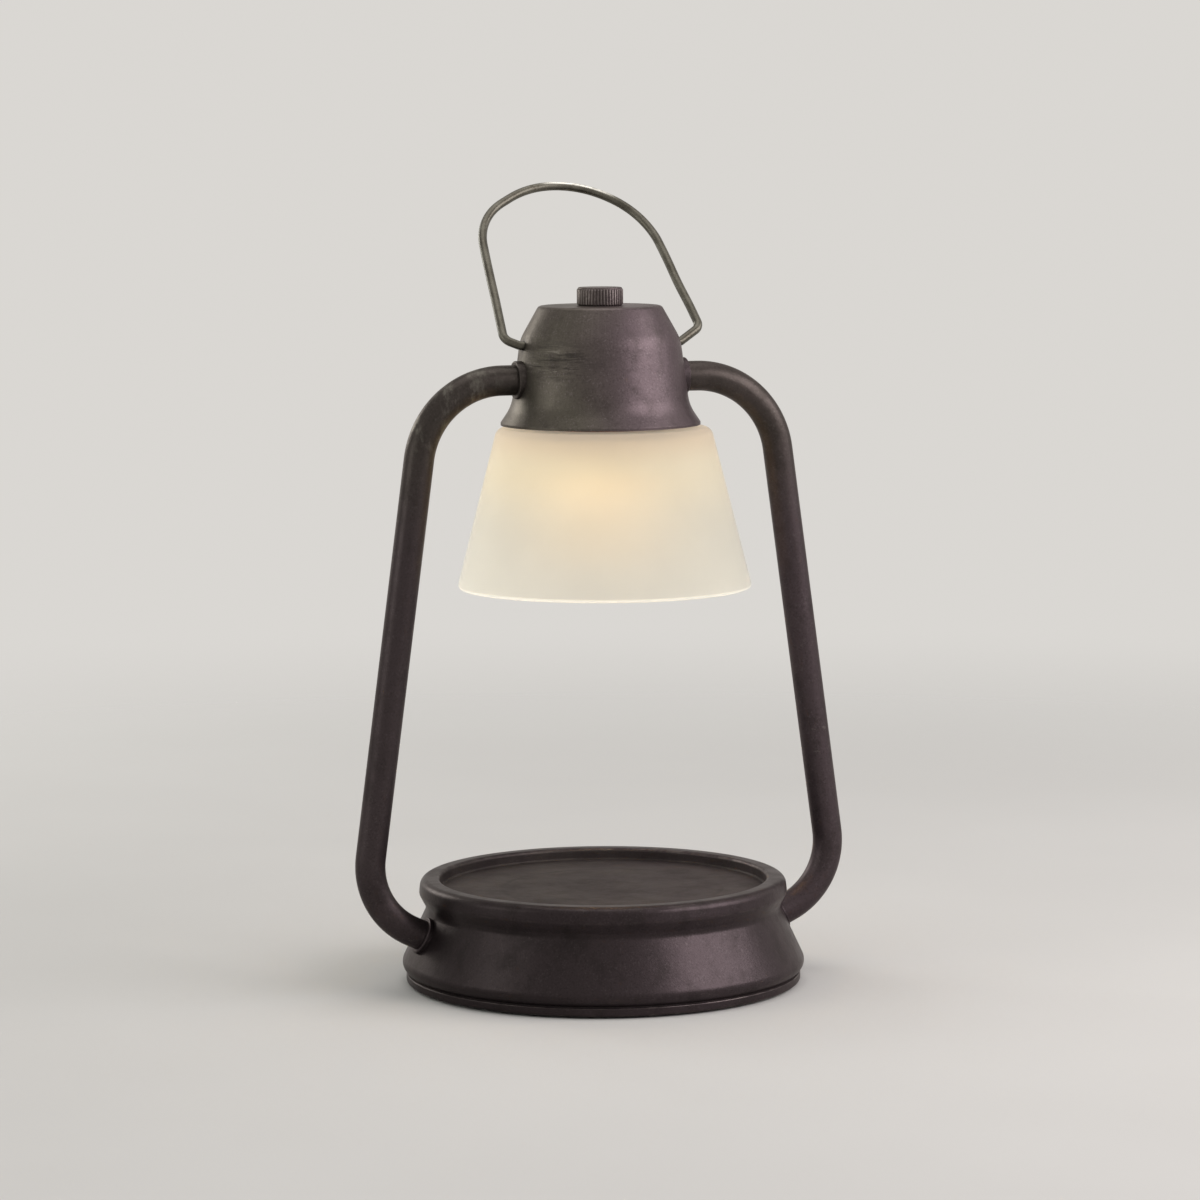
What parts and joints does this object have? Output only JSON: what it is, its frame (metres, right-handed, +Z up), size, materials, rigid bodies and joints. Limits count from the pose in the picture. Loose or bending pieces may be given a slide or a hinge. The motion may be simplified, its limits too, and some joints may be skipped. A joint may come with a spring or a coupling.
{
  "type": "candle warmer lamp",
  "caption": "Barn-lantern candle warmer lamp: weighted tray base, bent side tubes, spun cap with wire bail, frosted glass shade and twist-lock bulb over a jar bay.",
  "frame": {"origin": "centre of the round footprint, on the surface that the lamp stands on", "axes": "+Z up, +X towards the right side tube, -Y towards the front; the two side tubes lie in the XZ plane"},
  "size_m": [0.2014, 0.158, 0.3125],
  "materials": {
    "bronze_coat": "satin oil-rubbed bronze powder coat, slightly purple brown, worn lighter along edges",
    "worn_bronze": "worn bronze coat with bare metal showing along the wire",
    "zinc_steel": "zinc plated pressed steel",
    "steel_fixings": "plated steel nuts, washers and screws",
    "brass_fittings": "turned brass",
    "foot_rubber": "soft matt rubber",
    "cast_weight": "rough grey cast iron",
    "black_nylon": "moulded black nylon",
    "white_nylon": "moulded white nylon",
    "lead_sheath": "heat resistant white lead sheath",
    "fibre_washer": "red-brown vulcanised fibre",
    "frosted_glass": "acid frosted cream glass lit from inside",
    "porcelain": "unglazed white steatite",
    "reflector_coat": "aluminised reflector glass",
    "clear_glass": "clear glass",
    "lit_capsule": "clear quartz capsule, lit"
  },
  "bodies": {
    "lamp_frame": {"base_shell": "bronze_coat", "bottom_plate": "zinc_steel", "foot_pads": "foot_rubber", "base_weight": "cast_weight", "plate_screws": "steel_fixings", "weight_screws": "steel_fixings", "inlet_bushing": "black_nylon", "terminal_block": "white_nylon", "terminal_screws": "brass_fittings", "left_tube": "bronze_coat", "right_tube": "bronze_coat", "base_collar_left": "bronze_coat", "base_collar_right": "bronze_coat", "base_tube_seats": "steel_fixings", "base_tube_nuts": "steel_fixings", "cap_shell": "bronze_coat", "cap_collar_left": "bronze_coat", "cap_collar_right": "bronze_coat", "cap_tube_seats": "steel_fixings", "cap_tube_nuts": "steel_fixings", "stem": "brass_fittings", "stem_nuts": "brass_fittings", "shade_carrier": "zinc_steel", "shade_ring": "zinc_steel", "shade_washers": "fibre_washer", "glass_shade": "frosted_glass", "lampholder": "porcelain", "holder_bracket": "zinc_steel", "holder_screws": "steel_fixings", "lamp_lead": "lead_sheath", "lead_grommet": "black_nylon"},
    "bail": {"bail": "worn_bronze", "bail_clips": "steel_fixings"},
    "top_knob": {"top_knob": "bronze_coat"},
    "bulb": {"bulb_base": "porcelain", "bulb_reflector": "reflector_coat", "bulb_lens": "clear_glass", "bulb_capsule": "lit_capsule", "bulb_pins": "brass_fittings"}
  },
  "joints": [
    {"name": "bail_swing", "type": "hinge", "parent": "lamp_frame", "child": "bail", "pos_m": [0, 0, 0.2505], "axis": [1, 0, 0], "range_deg": [-96, 180]},
    {"name": "knob_turn", "type": "hinge", "parent": "lamp_frame", "child": "top_knob", "pos_m": [0, 0, 0.2655], "axis": [0, 0, 1], "continuous": true},
    {"name": "bulb_twist", "type": "hinge", "parent": "lamp_frame", "child": "bulb", "pos_m": [0, 0, 0.2137], "axis": [0, 0, 1], "range_deg": [-18, 0]}
  ]
}
